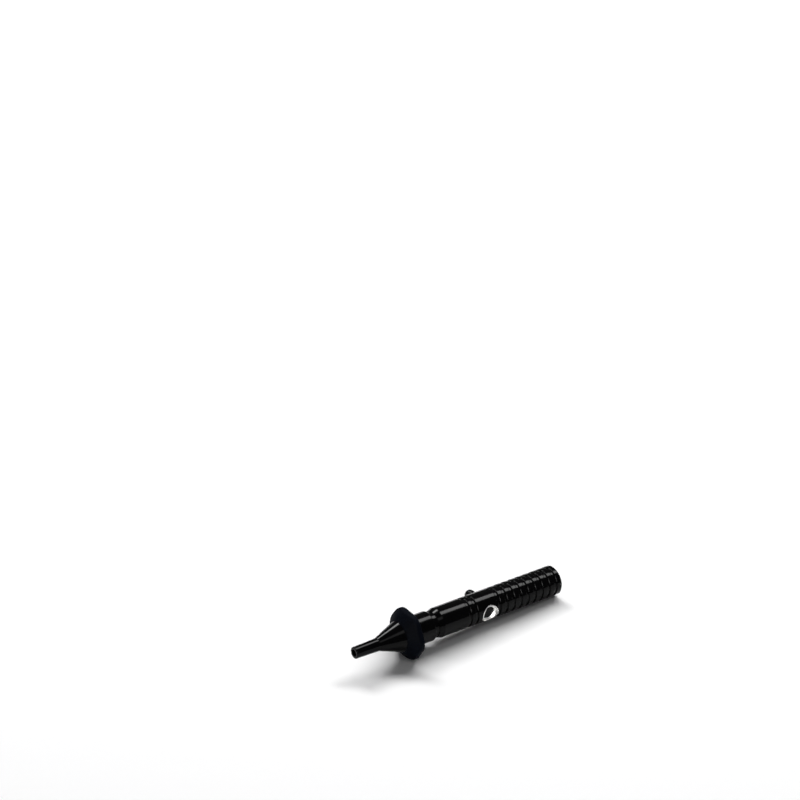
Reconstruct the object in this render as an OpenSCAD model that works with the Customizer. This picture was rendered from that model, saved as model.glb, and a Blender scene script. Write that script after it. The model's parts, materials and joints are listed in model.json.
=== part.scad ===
// Pick-up nozzle of a surface-mount placement machine, lying at rest on a table.
// Each piece is turned about the nozzle's own axis: z = 0 is the seat between shank and flange,
// the spindle end is up and the tip is down. lay_down() then rolls the nozzle on to the table.

/* [Shank] */
// Diameter of the shank, a sliding fit in the machine's spindle
shank_d = 6; // [5.4:0.1:8]
// Length of the shank's body, from the spindle end to the neck
body_l = 29.9; // [24:0.1:40]
// Chamfer round the spindle end
top_chamfer = 0.28; // [0.1:0.02:0.4]
// Length of the taper at the lower end of the body
taper_l = 1; // [0.4:0.1:1.2]
// Depth of that taper
taper_in = 0.33; // [0.1:0.01:0.4]
// Length of the neck between body and collar
neck_l = 1; // [0.6:0.1:2]
// Depth of the neck below the shank's surface
neck_in = 0.45; // [0.2:0.05:0.6]
// Length of the collar
collar_l = 3.5; // [2:0.1:6]
// Radius of the collar's upper edge
collar_r = 0.25; // [0.05:0.05:0.5]
// How far the foot stands out from the shank
foot_out = 0.55; // [0.3:0.05:0.9]
// Height of the foot
foot_h = 0.55; // [0.4:0.05:1.2]
// Radius of the foot's upper edge
foot_r = 0.15; // [0.05:0.05:0.3]
// Width of the undercut between collar and foot
undercut_w = 0.2; // [0.1:0.05:0.4]
// Depth of that undercut
undercut_in = 0.15; // [0.05:0.05:0.3]

/* [Seal grooves] */
// Number of seal grooves
groove_n = 9; // [3:1:10]
// Spacing of the seal grooves
groove_pitch = 1.75; // [1.4:0.05:2.1]
// Spindle end to the middle of the first groove
groove_top = 1.6; // [1:0.05:2.5]
// Width of a groove at its floor
groove_w = 0.5; // [0.3:0.05:0.7]
// Depth of a groove
groove_in = 0.22; // [0.15:0.01:0.3]
// Radius of the edges of the ribs
rib_r = 0.2; // [0.05:0.01:0.3]
// Wall between the last seal groove and the port
port_gap = 0.475; // [0.3:0.025:1]
// Wall between the port and the twin grooves
twin_gap = 1.225; // [0.5:0.025:2]
// Spacing of the twin grooves
twin_pitch = 1.6; // [1.2:0.05:2]

/* [Bores] */
// Diameter of the spring seat in the spindle end
seat_d = 4.7; // [4.2:0.05:5]
// Depth of the spring seat
seat_h = 0.9; // [0.5:0.1:2]
// Diameter of the air bore behind the spring seat
air_d = 3.8; // [3.2:0.1:4]
// Depth of the air bore, from the spindle end
air_h = 9; // [4:0.5:12]
// Diameter of the duct from the air bore down to the tip
duct_d = 2.8; // [2.5:0.05:3]

/* [Cross pin] */
// Diameter of the pin
pin_d = 2.2; // [1.8:0.05:2.4]
// Diameter of the pin's head
head_d = 2.6; // [2.5:0.05:2.8]
// Thickness of the pin's head
head_h = 0.3; // [0.2:0.05:0.5]
// How far the domed end stands out of the shank
pin_out = 1.9; // [1.3:0.1:2.4]
// Diameter of the port
port_d = 3.75; // [3.3:0.05:3.9]
// Depth of the port below the shank's surface
port_h = 1.1; // [0.8:0.05:1.2]
// Wall of the port ring
ring_wall = 0.15; // [0.1:0.01:0.25]
// Angle of the port round the shank, from the flat that the nozzle lies on
port_turn = -84; // [-90:1:-60]

/* [Flange] */
// Flange across the flats
flange_af = 9.68; // [9:0.02:12]
// Radius of the flange's corners
flange_corner_r = 2.8; // [1:0.1:4]
// Thickness of the flange, down to the cone
flange_t = 2.75; // [2:0.05:4]
// Height of the rim at a corner
rim_h = 1; // [0.6:0.05:1.6]

/* [Tip] */
// Diameter of the cone under the flange
cone_d = 6.1; // [5.6:0.1:7]
// Length of the cone
cone_l = 4.85; // [3:0.05:8]
// Diameter of the tube where it leaves the cone
tube_top_d = 2.56; // [2:0.02:3.2]
// Diameter of the tube at its end
tube_end_d = 2.3; // [1.6:0.02:2.8]
// Length of the tube
tube_l = 5.25; // [2:0.05:10]
// Radius of the edge that touches the component
tip_r = 0.12; // [0.02:0.01:0.2]
// Diameter of the vacuum bore
vacuum_d = 1.4; // [0.4:0.05:1.6]

/* [Fits] */
// Diameter of the spigot that carries flange and tip
spigot_d = 4; // [3.6:0.05:4.2]
// How far the spigot reaches into the tip
spigot_in = 1.25; // [0.6:0.05:1.6]
// Gap round the spigot, the pin and the ring, where they are bonded
fit_gap = 0.01; // [0.005:0.005:0.03]
// Space under the end of the spigot
end_gap = 0.1; // [0.05:0.05:0.3]

/* [Hidden] */
$fn = 96;
eps = 0.01;
far = 20;

shank_r = shank_d / 2;
foot_rad = shank_r + foot_out;
cone_r = cone_d / 2;

// Heights above the seat
collar_z = foot_h + undercut_w;
neck_z = collar_z + collar_l;
body_z = neck_z + neck_l;
top_z = body_z + body_l;

// Places along the body, measured from the spindle end
port_at = groove_top + (groove_n - 1) * groove_pitch + port_gap + port_d / 2;
twin_at = port_at + port_d / 2 + twin_gap;
groove_places = [for (i = [0 : groove_n - 1]) groove_top + i * groove_pitch];
twin_places = [twin_at, twin_at + twin_pitch];

// The port's flat floor, as a distance from the nozzle's axis
port_floor = shank_r - port_h;

// How far the flange's flats lie inside the line that its corner circles touch
flat_nip = 0.002;
// Centres of those circles and the reach of a corner
corner_c = (flange_af / 2 - flange_corner_r) / cos(30);
corner_reach = corner_c + flange_corner_r;
under_slope = (flange_t - rim_h) / (corner_reach - cone_r);

cone_z = -flange_t;
tube_z = cone_z - cone_l;
tip_z = tube_z - tube_l;
socket_z = cone_z - spigot_in - end_gap;

// The nozzle lies on a flat of the flange and on the edge of its spindle end
tilt = atan((flange_af / 2 - shank_r) / (top_z - top_chamfer));
lift = flange_af / 2 * cos(tilt);
far_x = top_z * cos(tilt) + (shank_r - top_chamfer) * sin(tilt);
near_x = tip_z * cos(tilt) - (tube_end_d / 2 - tip_r) * sin(tilt);

// Rolls the upright nozzle on to the table, spindle end towards +X, its length centred on the origin
module lay_down() {
    translate([-(far_x + near_x) / 2, 0, lift])
        rotate([0, 90 + tilt, 0])
            children();
}

// Points an upright shape outwards along the port's axis
module across() {
    translate([0, 0, top_z - port_at])
        rotate([0, 90, port_turn])
            children();
}

// What a rounded edge takes off a square corner at [0, 0], for a body below and to the left of it
module edge_waste(r) {
    difference() {
        translate([-r, -r]) square([r + eps, r + eps]);
        translate([-r, -r]) circle(r);
    }
}

// Section of one groove with rounded rib edges, its middle at [0, 0] on the shank's surface
module groove_section() {
    translate([-groove_in, -groove_w / 2]) square([groove_in + eps, groove_w]);
    for (side = [-1, 1])
        scale([1, side])
            translate([0, -groove_w / 2]) edge_waste(rib_r);
}

// Outer outline of the shank, to the right of the axis
module shank_outline() {
    difference() {
        union() {
            polygon([
                [0, body_z - eps], [shank_r - taper_in, body_z - eps], [shank_r - taper_in, body_z],
                [shank_r, body_z + taper_l], [shank_r, top_z - top_chamfer],
                [shank_r - top_chamfer, top_z], [0, top_z]
            ]);
            translate([0, neck_z - eps]) square([shank_r - neck_in, neck_l + 2 * eps]);
            translate([0, collar_z]) square([shank_r, collar_l]);
            translate([0, foot_h - eps]) square([shank_r - undercut_in, undercut_w + 2 * eps]);
            square([foot_rad, foot_h]);
        }
        translate([shank_r, neck_z]) edge_waste(collar_r);
        translate([foot_rad, foot_h]) edge_waste(foot_r);
        for (s = concat(groove_places, twin_places))
            translate([shank_r, top_z - s]) groove_section();
    }
}

module spigot() {
    translate([0, 0, cone_z - spigot_in]) cylinder(d = spigot_d, h = flange_t + spigot_in + eps);
}

module shank() {
    color("#17181b") lay_down() difference() {
        union() {
            rotate_extrude() shank_outline();
            spigot();
        }
        translate([0, 0, top_z - seat_h]) cylinder(d = seat_d, h = seat_h + eps);
        translate([0, 0, top_z - air_h]) cylinder(d = air_d, h = air_h);
        translate([0, 0, cone_z - spigot_in - eps])
            cylinder(d = duct_d, h = far + top_z);
        across() translate([0, 0, port_floor]) cylinder(d = port_d, h = far);
        across() translate([0, 0, -far]) cylinder(d = pin_d + 2 * fit_gap, h = 2 * far);
    }
}

// Headed pin: the head seats on the port's floor, the domed end runs in the spindle's slot
module cross_pin() {
    dome_c = shank_r + pin_out - pin_d / 2;
    color("#101114") lay_down() across() {
        translate([0, 0, port_floor]) cylinder(d = head_d, h = head_h);
        translate([0, 0, -dome_c]) cylinder(d = pin_d, h = dome_c + port_floor + eps);
        translate([0, 0, -dome_c]) sphere(d = pin_d);
    }
}

// Bright cup pressed into the port round the pin's head, its mouth flush with the shank
module port_ring() {
    color("#e6e5e2") lay_down() intersection() {
        cylinder(r = shank_r, h = top_z);
        across() difference() {
            translate([0, 0, port_floor]) cylinder(d = port_d - 2 * fit_gap, h = port_h + eps);
            translate([0, 0, port_floor + head_h]) cylinder(d = port_d - 2 * ring_wall, h = port_h);
            translate([0, 0, port_floor - eps]) cylinder(d = head_d + 2 * fit_gap, h = port_h);
        }
    }
}

// Six flats with rounded corners. The flats lie flat_nip inside the corner circles, so the two cross
module flange_outline() {
    flat_r = flange_corner_r - flat_nip;
    polygon([for (i = [0 : 5], side = [-30, 30])
        corner_c * [cos(60 * i + 30), sin(60 * i + 30)]
            + flat_r * [cos(60 * i + 30 + side), sin(60 * i + 30 + side)]]);
    for (i = [0 : 5])
        rotate(60 * i + 30) translate([corner_c, 0]) circle(flange_corner_r);
}

module flange() {
    beyond = corner_reach + 0.4;
    color("#1d2126") lay_down() difference() {
        intersection() {
            translate([0, 0, cone_z]) linear_extrude(flange_t) flange_outline();
            rotate_extrude() polygon([
                [0, cone_z], [cone_r, cone_z],
                [beyond, cone_z + (beyond - cone_r) * under_slope],
                [beyond, 0], [0, 0]
            ]);
        }
        translate([0, 0, cone_z - eps]) cylinder(d = spigot_d + 2 * fit_gap, h = flange_t + 2 * eps);
    }
}

// Cone and tube turned in one piece, with a funnel from the shank's duct down to the vacuum bore
module tip() {
    color("#141518") lay_down() rotate_extrude() difference() {
        polygon([
            [vacuum_d / 2, tip_z], [tube_end_d / 2, tip_z], [tube_top_d / 2, tube_z],
            [cone_r, cone_z], [spigot_d / 2 + fit_gap, cone_z], [spigot_d / 2 + fit_gap, socket_z],
            [duct_d / 2, socket_z], [vacuum_d / 2, tube_z]
        ]);
        translate([tube_end_d / 2, tip_z]) scale([1, -1]) edge_waste(tip_r);
    }
}

shank();
cross_pin();
port_ring();
flange();
tip();
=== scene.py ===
"""Finishes, light and camera for a surface-mount pick-up nozzle that lies on a table."""

import json
from math import radians

import bpy
from bpy.props import FloatProperty, FloatVectorProperty, PointerProperty
from bpy.types import Operator, Panel, PropertyGroup
from mathutils import Matrix, Vector


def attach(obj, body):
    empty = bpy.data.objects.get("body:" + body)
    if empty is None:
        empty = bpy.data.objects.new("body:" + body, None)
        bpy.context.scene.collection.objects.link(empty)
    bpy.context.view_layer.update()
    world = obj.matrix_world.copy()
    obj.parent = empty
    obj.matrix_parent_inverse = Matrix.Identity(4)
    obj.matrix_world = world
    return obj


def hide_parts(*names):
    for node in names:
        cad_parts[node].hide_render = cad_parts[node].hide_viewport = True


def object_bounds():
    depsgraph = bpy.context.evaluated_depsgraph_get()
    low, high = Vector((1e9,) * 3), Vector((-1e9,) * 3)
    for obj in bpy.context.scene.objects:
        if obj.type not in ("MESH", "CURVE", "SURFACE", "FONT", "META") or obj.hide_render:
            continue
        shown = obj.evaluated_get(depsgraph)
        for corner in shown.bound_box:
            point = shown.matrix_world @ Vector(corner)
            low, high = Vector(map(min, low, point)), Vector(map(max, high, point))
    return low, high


bl_info = {
    "name": "Pick-up nozzle",
    "version": (1, 0, 0),
    "blender": (4, 5, 0),
    "location": "View3D > Sidebar > Nozzle",
    "description": "Black coated steel, a bright port and a matt flange on a vacuum nozzle",
    "category": "Object",
}

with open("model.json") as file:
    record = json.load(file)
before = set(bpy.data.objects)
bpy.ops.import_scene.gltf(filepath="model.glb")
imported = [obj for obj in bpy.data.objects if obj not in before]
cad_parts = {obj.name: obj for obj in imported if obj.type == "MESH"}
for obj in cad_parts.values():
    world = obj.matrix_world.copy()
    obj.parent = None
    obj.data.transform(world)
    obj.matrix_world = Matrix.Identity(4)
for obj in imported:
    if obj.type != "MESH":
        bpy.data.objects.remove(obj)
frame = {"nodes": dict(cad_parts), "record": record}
NODES = frame["nodes"]
MOUNTS = {mount["name"]: mount for mount in frame["record"]["mounts"]}
CAD_BOX = [list(corner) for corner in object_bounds()]

# The nozzle's own axis
AXIS = Vector(MOUNTS["air_bore"]["axis"]).normalized()

# For the rounded copy of a CAD piece: points nearer than this are one point, faces that meet at
# less than the flat angle are one face, and edges above the sharp angle are rounded
MERGE_DISTANCE = 1e-6
FLAT_ANGLE = radians(0.5)
SHARP_ANGLE = radians(25)
ROUND_SEGMENTS = 4

# The studio, in metres
UP = Vector((0, 0, 1))
TABLE_SIZE = 6
LAMP_HEIGHT = 0.6
ROOM_COLOR = (0.12, 0.12, 0.122)
SENSOR_WIDTH_MM = 36


# ---------------------------------------------------------------- values that a user would change


class FinishSettings(PropertyGroup):
    coat_color: FloatVectorProperty(
        name="Coating", description="Colour of the gloss black coating",
        subtype="COLOR", default=(0.0010, 0.0010, 0.0012), min=0, max=1)
    coat_roughness: FloatProperty(
        name="Coating roughness", description="Roughness of the gloss black coating",
        subtype="FACTOR", default=0.10, min=0, max=1)
    coat_specular: FloatProperty(
        name="Coating gloss", description="Specular level of the gloss black coating",
        subtype="FACTOR", default=0.09, min=0, max=1)
    pin_color: FloatVectorProperty(
        name="Pin", description="Colour of the blackened pin",
        subtype="COLOR", default=(0.001, 0.001, 0.0013), min=0, max=1)
    ring_color: FloatVectorProperty(
        name="Port ring", description="Colour of the bright steel ring",
        subtype="COLOR", default=(0.96, 0.955, 0.94), min=0, max=1)
    flange_color: FloatVectorProperty(
        name="Flange", description="Colour of the matt flange",
        subtype="COLOR", default=(0.0010, 0.0020, 0.0050), min=0, max=1)
    flange_round: FloatProperty(
        name="Flange rounding", description="Width of the rounding on the flange's edges",
        subtype="DISTANCE", default=0.00028, min=0.00005, max=0.0004, precision=5)


class StageSettings(PropertyGroup):
    camera_place: FloatVectorProperty(
        name="Camera", description="Where the camera stands",
        subtype="TRANSLATION", unit="LENGTH", default=(-0.19679, -0.25933, 0.2390))
    camera_aim: FloatVectorProperty(
        name="Looks along", description="Direction in which the camera looks",
        subtype="DIRECTION", default=(0.50059, 0.70814, -0.49795))
    lens: FloatProperty(
        name="Lens", description="Focal length in millimetres for a sensor 36 mm wide",
        default=92.91, min=20, max=300)
    floor_color: FloatVectorProperty(
        name="Floor", description="Colour of the table",
        subtype="COLOR", default=(0.95, 0.95, 0.95), min=0, max=1)
    key_power: FloatProperty(
        name="Overhead light", description="Power of the long soft box beyond the nozzle",
        unit="POWER", default=5.7, min=0)
    front_power: FloatProperty(
        name="Front light", description="Power of the small soft box over the camera",
        unit="POWER", default=0.25, min=0)
    far_power: FloatProperty(
        name="Far light", description="Power of the small soft box beyond the tip",
        unit="POWER", default=1.5, min=0)
    side_power: FloatProperty(
        name="Side light", description="Power of the panel that only reflections show",
        unit="POWER", default=12.0, min=0)


# ---------------------------------------------------------------- shader tools


def add_node(tree, kind, **values):
    """A shader node with its settings by name and its inputs by socket name in a dict."""
    node = tree.nodes.new(kind)
    for name, value in values.pop("inputs", {}).items():
        node.inputs[name].default_value = value
    for name, value in values.items():
        setattr(node, name, value)
    return node


def turned_group():
    """Marks that a lathe leaves, as rings about the nozzle's axis, and a faint cloud of handling."""
    name = "Turned marks"
    if name in bpy.data.node_groups:
        return bpy.data.node_groups[name]
    tree = bpy.data.node_groups.new(name, "ShaderNodeTree")
    socket = tree.interface.new_socket
    socket("Ring spacing", in_out="INPUT", socket_type="NodeSocketFloat").default_value = 9000
    socket("Cloud size", in_out="INPUT", socket_type="NodeSocketFloat").default_value = 400
    socket("Rings", in_out="OUTPUT", socket_type="NodeSocketFloat")
    socket("Cloud", in_out="OUTPUT", socket_type="NodeSocketFloat")
    start = add_node(tree, "NodeGroupInput")
    end = add_node(tree, "NodeGroupOutput")
    place = add_node(tree, "ShaderNodeTexCoord")
    along = add_node(tree, "ShaderNodeVectorMath", operation="DOT_PRODUCT")
    along.inputs[1].default_value = AXIS
    rings = add_node(tree, "ShaderNodeTexNoise", noise_dimensions="1D", inputs={"Detail": 3.0})
    cloud = add_node(tree, "ShaderNodeTexNoise", inputs={"Detail": 4.0, "Roughness": 0.6})
    link = tree.links.new
    link(place.outputs["Object"], along.inputs[0])
    link(along.outputs["Value"], rings.inputs["W"])
    link(start.outputs["Ring spacing"], rings.inputs["Scale"])
    link(place.outputs["Object"], cloud.inputs["Vector"])
    link(start.outputs["Cloud size"], cloud.inputs["Scale"])
    link(rings.outputs["Fac"], end.inputs["Rings"])
    link(cloud.outputs["Fac"], end.inputs["Cloud"])
    return tree


def new_material(name):
    """An empty node material with its Principled shader already wired to the output."""
    material = bpy.data.materials.new(name)
    material.use_nodes = True
    tree = material.node_tree
    tree.nodes.clear()
    shader = add_node(tree, "ShaderNodeBsdfPrincipled")
    output = add_node(tree, "ShaderNodeOutputMaterial")
    tree.links.new(shader.outputs["BSDF"], output.inputs["Surface"])
    return material, tree, shader


def spread(tree, source, low, high):
    """Takes a 0 to 1 value to the range from low to high."""
    node = add_node(tree, "ShaderNodeMapRange")
    node.inputs["To Min"].default_value = low
    node.inputs["To Max"].default_value = high
    tree.links.new(source, node.inputs["Value"])
    return node.outputs["Result"]


def tint(tree, source, dark, light):
    """Mixes two colours by a 0 to 1 value."""
    node = add_node(tree, "ShaderNodeMix", data_type="RGBA")
    node.inputs["A"].default_value = (*dark, 1)
    node.inputs["B"].default_value = (*light, 1)
    tree.links.new(source, node.inputs["Factor"])
    return node.outputs["Result"]


def bump(tree, height, strength, distance):
    """A Bump node's normal from a height."""
    node = add_node(tree, "ShaderNodeBump")
    node.inputs["Strength"].default_value = strength
    node.inputs["Distance"].default_value = distance
    tree.links.new(height, node.inputs["Height"])
    return node.outputs["Normal"]


def dress(node_name, material):
    """Puts one material in every slot of a CAD node."""
    obj = NODES[node_name]
    if not obj.material_slots:
        obj.data.materials.append(material)
    for slot in obj.material_slots:
        slot.material = material


def rounded_copy(node_name, piece_name, width):
    """A merged copy of a CAD node whose sharp edges are rounded."""
    bpy.ops.object.select_all(action="DESELECT")
    piece = bpy.data.objects.new(piece_name, NODES[node_name].data.copy())
    bpy.context.scene.collection.objects.link(piece)
    bpy.context.view_layer.objects.active = piece
    piece.select_set(True)
    bpy.ops.mesh.customdata_custom_splitnormals_clear()
    bpy.ops.object.mode_set(mode="EDIT")
    bpy.ops.mesh.select_all(action="SELECT")
    bpy.ops.mesh.remove_doubles(threshold=MERGE_DISTANCE)
    bpy.ops.mesh.dissolve_limited(angle_limit=FLAT_ANGLE)
    bpy.ops.object.mode_set(mode="OBJECT")
    rounding = piece.modifiers.new("Rounding", "BEVEL")
    rounding.width = width
    rounding.segments = ROUND_SEGMENTS
    rounding.limit_method = "ANGLE"
    rounding.angle_limit = SHARP_ANGLE
    bpy.ops.object.modifier_apply(modifier=rounding.name)
    bpy.ops.object.shade_smooth()
    shading = piece.modifiers.new("Shading", "WEIGHTED_NORMAL")
    bpy.ops.object.modifier_apply(modifier=shading.name)
    return piece


# ---------------------------------------------------------------- finishes


def marked_material(name, color, tones, roughness, cloud_size):
    """A material whose colour and roughness follow the cloud of handling marks.

    tones and roughness are the values in the darkest and in the lightest part of the cloud.
    """
    material, tree, shader = new_material(name)
    marks = add_node(tree, "ShaderNodeGroup", node_tree=turned_group())
    marks.inputs["Cloud size"].default_value = cloud_size
    cloud = marks.outputs["Cloud"]
    base = Vector(color)
    tree.links.new(tint(tree, cloud, base * tones[0], base * tones[1]), shader.inputs["Base Color"])
    tree.links.new(spread(tree, cloud, *roughness), shader.inputs["Roughness"])
    return material, tree, shader, marks


def gloss_black(settings):
    """Hard gloss black coating over turned steel."""
    rough = settings.coat_roughness
    material, tree, shader, marks = marked_material(
        "Gloss black coating", settings.coat_color, (0.8, 1.3), (rough * 0.75, rough * 1.3), 350)
    marks.inputs["Ring spacing"].default_value = 7000
    shader.inputs["Specular IOR Level"].default_value = settings.coat_specular
    tree.links.new(bump(tree, marks.outputs["Rings"], 0.05, 0.00002), shader.inputs["Normal"])
    return material


def satin_black(settings):
    """Blackened pin, a little duller than the coating."""
    material, _, shader, _ = marked_material(
        "Satin black pin", settings.pin_color, (0.7, 1.5), (0.12, 0.2), 900)
    shader.inputs["Specular IOR Level"].default_value = 0.09
    return material


def bright_steel(settings):
    """Bare turned steel of the port ring."""
    material, _, shader, _ = marked_material(
        "Bright turned steel", settings.ring_color, (0.9, 1), (0.28, 0.42), 1500)
    shader.inputs["Metallic"].default_value = 1
    return material


def matt_flange(settings):
    """Matt blue-black plate with a fine grain."""
    material, tree, shader, marks = marked_material(
        "Matt blue-black", settings.flange_color, (0.75, 1.3), (0.55, 0.75), 6000)
    shader.inputs["Specular IOR Level"].default_value = 0.03
    tree.links.new(bump(tree, marks.outputs["Cloud"], 0.25, 0.00003), shader.inputs["Normal"])
    return material


class NOZZLE_OT_coat_steel(Operator):
    """Coats the shank and the tip"""
    bl_idname = "nozzle.coat_steel"
    bl_label = "Coat shank and tip"

    def execute(self, context):
        material = gloss_black(context.scene.nozzle_finish)
        for name in ("shank", "tip"):
            dress(name, material)
        return {"FINISHED"}


class NOZZLE_OT_blacken_pin(Operator):
    """Blackens the cross pin"""
    bl_idname = "nozzle.blacken_pin"
    bl_label = "Blacken pin"

    def execute(self, context):
        dress("cross_pin", satin_black(context.scene.nozzle_finish))
        return {"FINISHED"}


class NOZZLE_OT_polish_ring(Operator):
    """Leaves the port ring bright"""
    bl_idname = "nozzle.polish_ring"
    bl_label = "Polish port ring"

    def execute(self, context):
        dress("port_ring", bright_steel(context.scene.nozzle_finish))
        return {"FINISHED"}


class NOZZLE_OT_dress_flange(Operator):
    """Rounds the flange's edges and gives it its matt finish"""
    bl_idname = "nozzle.dress_flange"
    bl_label = "Dress flange"

    def execute(self, context):
        settings = context.scene.nozzle_finish
        material = matt_flange(settings)
        dress("flange", material)
        piece = rounded_copy("flange", "rounded_flange", settings.flange_round)
        piece.data.materials.clear()
        piece.data.materials.append(material)
        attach(piece, "root")
        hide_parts("flange")
        return {"FINISHED"}


# ---------------------------------------------------------------- stage


def aim(obj, direction):
    """Turns a camera or a light to look along a direction, level with the horizon."""
    obj.rotation_mode = "QUATERNION"
    obj.rotation_quaternion = Vector(direction).to_track_quat("-Z", "Y")


def floor_material(settings):
    """Plain white table with a faint grain."""
    material, tree, shader = new_material("White table")
    place = add_node(tree, "ShaderNodeTexCoord")
    grain = add_node(tree, "ShaderNodeTexNoise", inputs={"Scale": 900.0, "Detail": 3.0})
    shader.inputs["Roughness"].default_value = 0.9
    shader.inputs["Specular IOR Level"].default_value = 0.0
    base = Vector(settings.floor_color)
    tree.links.new(place.outputs["Object"], grain.inputs["Vector"])
    tree.links.new(tint(tree, grain.outputs["Fac"], base * 0.985, base), shader.inputs["Base Color"])
    return material


def studio_world():
    """Dim grey room round the table."""
    world = bpy.data.worlds.new("Studio")
    world.use_nodes = True
    tree = world.node_tree
    tree.nodes.clear()
    room = add_node(tree, "ShaderNodeBackground", inputs={"Color": (*ROOM_COLOR, 1)})
    output = add_node(tree, "ShaderNodeOutputWorld")
    tree.links.new(room.outputs["Background"], output.inputs["Surface"])
    bpy.context.scene.world = world


def soft_box(name, place, size, power, across):
    """Area light that faces the middle of the nozzle, its long side along the given direction."""
    bpy.ops.object.light_add(type="AREA", location=place)
    lamp = bpy.context.object
    lamp.name = name
    lamp.data.shape = "RECTANGLE"
    lamp.data.size, lamp.data.size_y = size
    lamp.data.energy = power
    back = (Vector(place) - Vector((0, 0, CAD_BOX[1][2] / 2))).normalized()
    side = (Vector(across) - back * back.dot(across)).normalized()
    lamp.rotation_mode = "QUATERNION"
    lamp.rotation_quaternion = Matrix((side, back.cross(side), back)).transposed().to_quaternion()
    return lamp


class NOZZLE_OT_set_stage(Operator):
    """Adds the table, the lights and the camera"""
    bl_idname = "nozzle.set_stage"
    bl_label = "Set stage"

    def execute(self, context):
        settings = context.scene.nozzle_stage
        bpy.ops.object.select_all(action="DESELECT")
        bpy.ops.mesh.primitive_plane_add(size=TABLE_SIZE)
        table = context.object
        table.name = "table"
        table.data.materials.append(floor_material(settings))
        studio_world()

        look = Vector(settings.camera_aim).normalized()
        right = look.cross(UP).normalized()
        away = UP.cross(right)
        for name, to_right, to_back, size, power, along in (
            ("overhead_box", 0.05, 0.345, (0.9, 0.16), settings.key_power, right - away * 0.25),
            ("far_box", -0.3, 0.5, (0.3, 0.14), settings.far_power, right),
            ("front_box", 0.1, -0.32, (0.25, 0.2), settings.front_power, right),
        ):
            place = right * to_right + away * to_back + UP * LAMP_HEIGHT
            soft_box(name, place, size, power, along)
        # This panel shows in the edges and takes no part in the shadow
        panel = soft_box(
            "side_panel", (-0.7, -0.5, 0.45), (0.7, 0.4), settings.side_power, (-0.8, 0.12, -0.74))
        panel.visible_diffuse = False

        bpy.ops.object.camera_add(location=settings.camera_place)
        camera = context.object
        camera.data.sensor_width = SENSOR_WIDTH_MM
        camera.data.lens = settings.lens
        camera.data.clip_start = 0.01
        aim(camera, look)
        context.scene.camera = camera
        context.scene.view_settings.view_transform = "Standard"
        return {"FINISHED"}


class NOZZLE_PT_sidebar(Panel):
    """Buttons for each finish and for the stage"""
    bl_idname = "NOZZLE_PT_sidebar"
    bl_label = "Pick-up nozzle"
    bl_space_type = "VIEW_3D"
    bl_region_type = "UI"
    bl_category = "Nozzle"

    def draw(self, context):
        for group in (context.scene.nozzle_finish, context.scene.nozzle_stage):
            for name in group.bl_rna.properties.keys():
                if name not in ("rna_type", "name"):
                    self.layout.prop(group, name)
        for step in STEPS:
            self.layout.operator(step.bl_idname)


STEPS = (
    NOZZLE_OT_coat_steel, NOZZLE_OT_blacken_pin, NOZZLE_OT_polish_ring, NOZZLE_OT_dress_flange,
    NOZZLE_OT_set_stage,
)
CLASSES = (FinishSettings, StageSettings, *STEPS, NOZZLE_PT_sidebar)


def register():
    for cls in CLASSES:
        bpy.utils.register_class(cls)
    bpy.types.Scene.nozzle_finish = PointerProperty(type=FinishSettings)
    bpy.types.Scene.nozzle_stage = PointerProperty(type=StageSettings)


def unregister():
    del bpy.types.Scene.nozzle_stage
    del bpy.types.Scene.nozzle_finish
    for cls in reversed(CLASSES):
        bpy.utils.unregister_class(cls)


def main():
    register()
    bpy.ops.nozzle.coat_steel()
    bpy.ops.nozzle.blacken_pin()
    bpy.ops.nozzle.polish_ring()
    bpy.ops.nozzle.dress_flange()
    bpy.ops.nozzle.set_stage()


if __name__ == "__main__":
    main()
